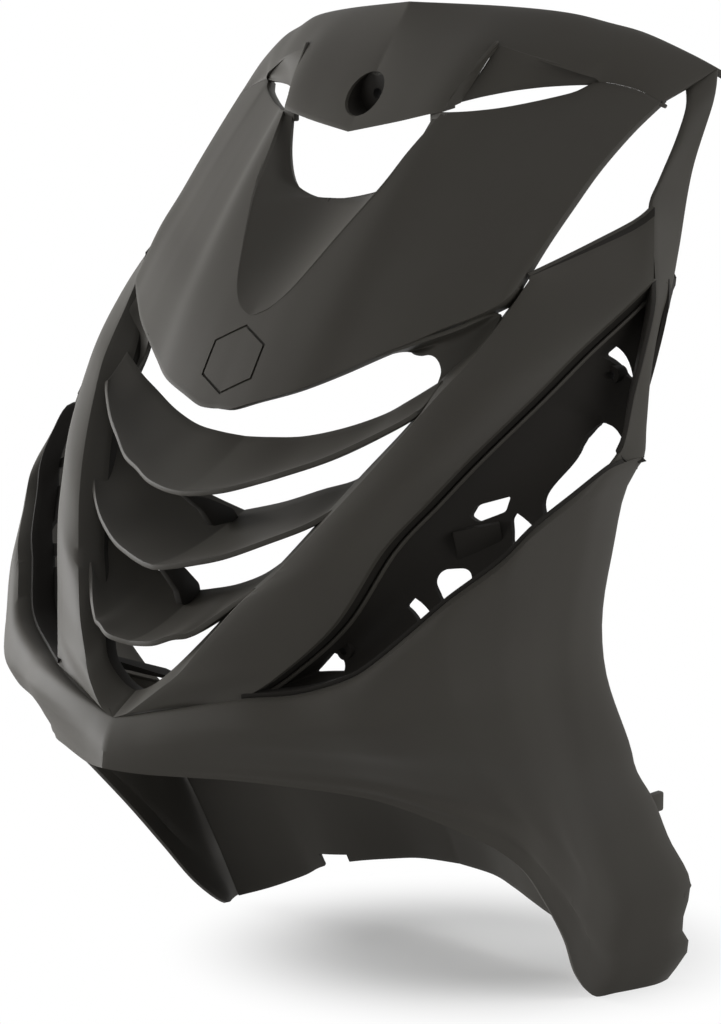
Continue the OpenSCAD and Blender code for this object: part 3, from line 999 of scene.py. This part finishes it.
@dataclass
class Studio:
    """A white sweep of floor, soft lamps and the camera at the photograph's angle."""

    low: Triple
    high: Triple
    drawing: Drawing
    azimuth: float = 40.0
    elevation: float = 9.0
    distance_mm: float = 1836.0
    focal_mm: float = 103.0
    aim_mm: Triple = (-46.9, 16.3, 269.3)
    # oval on the floor where the rendered shadow shows; its soft grey edge against the white is painted
    # shadow
    shadow_mm: Triple = (33, 30, 0)
    shadow_reach: Pair = (0.2, 0.17)
    shadow_starts: float = 0.3
    floor_side: float = 60.0
    floor_gap: float = 0.0005
    floor_paint: str = "#dededd"
    floor_lift: float = 0.22
    soft_light: tuple[float, ...] = (0.9, 0.95, 1, 1)
    soft_strength: float = 0.07
    lamp_plan: tuple[Lamp, ...] = (
        Lamp("left", (-2.3, -0.9, 0.0), 1.3, 124.0),
        Lamp("front", (-0.9, -2.2, -0.2), 1.3, 36.0),
        Lamp("right", (2.2, 0.3, 0.8), 1.3, 30.0),
        Lamp("top", (-0.4, -0.6, 2.0), 1.6, 2.0),
        Lamp("rear", (0.6, 1.6, 1.5), 1.4, 14.0),
    )

    def build(self) -> None:
        """Builds the floor, world, lamps and camera."""
        self.floor()
        self.world()
        self.lamps()
        self.camera()

    @staticmethod
    def seen(tree: bpy.types.NodeTree) -> bpy.types.NodeSocket:
        """Joins the rays that see the background white: those of the camera, of gloss and of transmission."""
        path = add_node(tree, "ShaderNodeLightPath")
        rays = path.outputs["Is Camera Ray"]
        for ray in ("Is Glossy Ray", "Is Transmission Ray"):
            either = add_node(tree, "ShaderNodeMath", {"operation": "MAXIMUM"},
                              {0: rays, 1: path.outputs[ray]})
            rays = either.outputs["Value"]
        return rays

    def floor(self) -> None:
        """A wide pale floor: inside an oval round the panel it shows the rendered shadow over its own lit
        grey, and outside it glows plain white, so the oval's soft edge is painted shadow.
        """
        bpy.ops.object.select_all(action="DESELECT")
        bpy.ops.mesh.primitive_plane_add(size=self.floor_side, location=(0, 0, self.low[2] - self.floor_gap))
        floor = bpy.context.object
        floor.name = "studio_floor"
        bpy.ops.object.transform_apply(location=True, rotation=True, scale=True)
        material = bpy.data.materials.new("pale_floor")
        material.use_nodes = True
        tree = material.node_tree
        tree.nodes.clear()
        paint = add_node(tree, "ShaderNodeBsdfDiffuse", {"Color": linear(self.floor_paint)})
        white = add_node(tree, "ShaderNodeEmission", {"Color": (1, 1, 1, 1), "Strength": 1.0})
        faint = add_node(tree, "ShaderNodeEmission", {"Color": (1, 1, 1, 1), "Strength": self.floor_lift})
        near = add_node(tree, "ShaderNodeAddShader", None,
                        {0: paint.outputs["BSDF"], 1: faint.outputs["Emission"]})
        place = add_node(tree, "ShaderNodeTexCoord")
        middle = self.drawing.place(np.array(self.shadow_mm))
        turned = add_node(tree, "ShaderNodeMapping",
                          {"vector_type": "TEXTURE", "Location": tuple(middle),
                           "Rotation": (0, 0, math.radians(self.azimuth)),
                           "Scale": (*self.shadow_reach, 1.0)},
                          {"Vector": place.outputs["Object"]})
        reach = add_node(tree, "ShaderNodeVectorMath", {"operation": "LENGTH"}, {0: turned.outputs["Vector"]})
        fade = add_node(tree, "ShaderNodeMapRange", {"From Min": self.shadow_starts, "From Max": 1.0,
                                                     "interpolation_type": "SMOOTHSTEP"},
                        {"Value": reach.outputs["Value"]})
        both = mixed(tree, fade.outputs["Result"], near.outputs["Shader"], white.outputs["Emission"])
        surface = mixed(tree, self.seen(tree), paint.outputs["BSDF"], both)
        add_node(tree, "ShaderNodeOutputMaterial", None, {"Surface": surface})
        floor.data.materials.append(material)

    def world(self) -> None:
        """A white background for the rays that see it and a soft grey light for the panel."""
        world = bpy.data.worlds.new("studio")
        bpy.context.scene.world = world
        world.use_nodes = True
        tree = world.node_tree
        tree.nodes.clear()
        soft = add_node(tree, "ShaderNodeBackground",
                        {"Color": self.soft_light, "Strength": self.soft_strength})
        white = add_node(tree, "ShaderNodeBackground", {"Color": (1, 1, 1, 1), "Strength": 1.0})
        surface = mixed(tree, self.seen(tree), soft.outputs["Background"], white.outputs["Background"])
        add_node(tree, "ShaderNodeOutputWorld", None, {"Surface": surface})

    def lamps(self) -> None:
        """Large soft lamps: the strongest on the left, weaker ones in front, right, above and behind."""
        middle = np.add(self.low, self.high) / 2
        for plan in self.lamp_plan:
            bpy.ops.object.light_add(type="AREA", location=tuple(middle + np.array(plan.offset)))
            lamp = bpy.context.object
            lamp.name = plan.name
            lamp.data.size = plan.side
            lamp.data.energy = plan.watts
            self.aim(lamp, middle)

    @staticmethod
    def aim(thing: bpy.types.Object, point: np.ndarray) -> None:
        """Turns a lamp or camera towards a point."""
        way = thing.location.__class__(point) - thing.location
        thing.rotation_euler = way.to_track_quat("-Z", "Y").to_euler()

    def camera(self) -> None:
        """The camera at the photograph's viewing angle."""
        a, e = math.radians(self.azimuth), math.radians(self.elevation)
        back = np.array([math.sin(a) * math.cos(e), -math.cos(a) * math.cos(e), math.sin(e)])
        target = np.array(self.aim_mm)
        eye = self.drawing.place(target + back * self.distance_mm)
        bpy.ops.object.camera_add(location=tuple(eye))
        camera = bpy.context.object
        camera.data.sensor_fit = "AUTO"
        camera.data.sensor_width = 36
        camera.data.lens = self.focal_mm
        camera.data.clip_end = 100
        self.aim(camera, self.drawing.place(target))
        bpy.context.scene.camera = camera


def main() -> None:
    """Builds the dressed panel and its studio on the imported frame."""
    logging.basicConfig(level=logging.INFO, format="%(name)s: %(message)s")
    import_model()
    low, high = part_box("front_panel")
    drawing = Drawing(tuple(low), tuple(high))
    shop = Workshop(drawing)
    pieces: list[bpy.types.Object] = []
    for section in (TopBand(), Hood(), Arms(), Wings(), Louvres(), IntakePans(), WheelWell()):
        made = section.build(shop)
        LOG.info("%s: %d walls", type(section).__name__, len(made))
        pieces += made
    outside = GrainedPolypropylene().build()
    # the same plastic with painted shade: darker colours, and a rougher surface, for the walls at the back of
    # openings
    inside = GrainedPolypropylene("polypropylene_painted_shade", "#16130f", "#0f0d0a", 0.78).build()
    for piece in pieces:
        piece.data.materials.clear()
        piece.data.materials.append(inside if piece.name.split(".")[0] in PAINTED_SHADE_WALLS else outside)
    panel = shop.join("moulded_panel", pieces)
    shop.smooth(panel)
    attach(panel, "root")
    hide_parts("front_panel")
    LOG.info("panel: %d faces", len(panel.data.polygons))
    Studio(tuple(low), tuple(high), drawing).build()
    bpy.context.scene.view_settings.view_transform = "Standard"


if __name__ == "__main__":
    main()
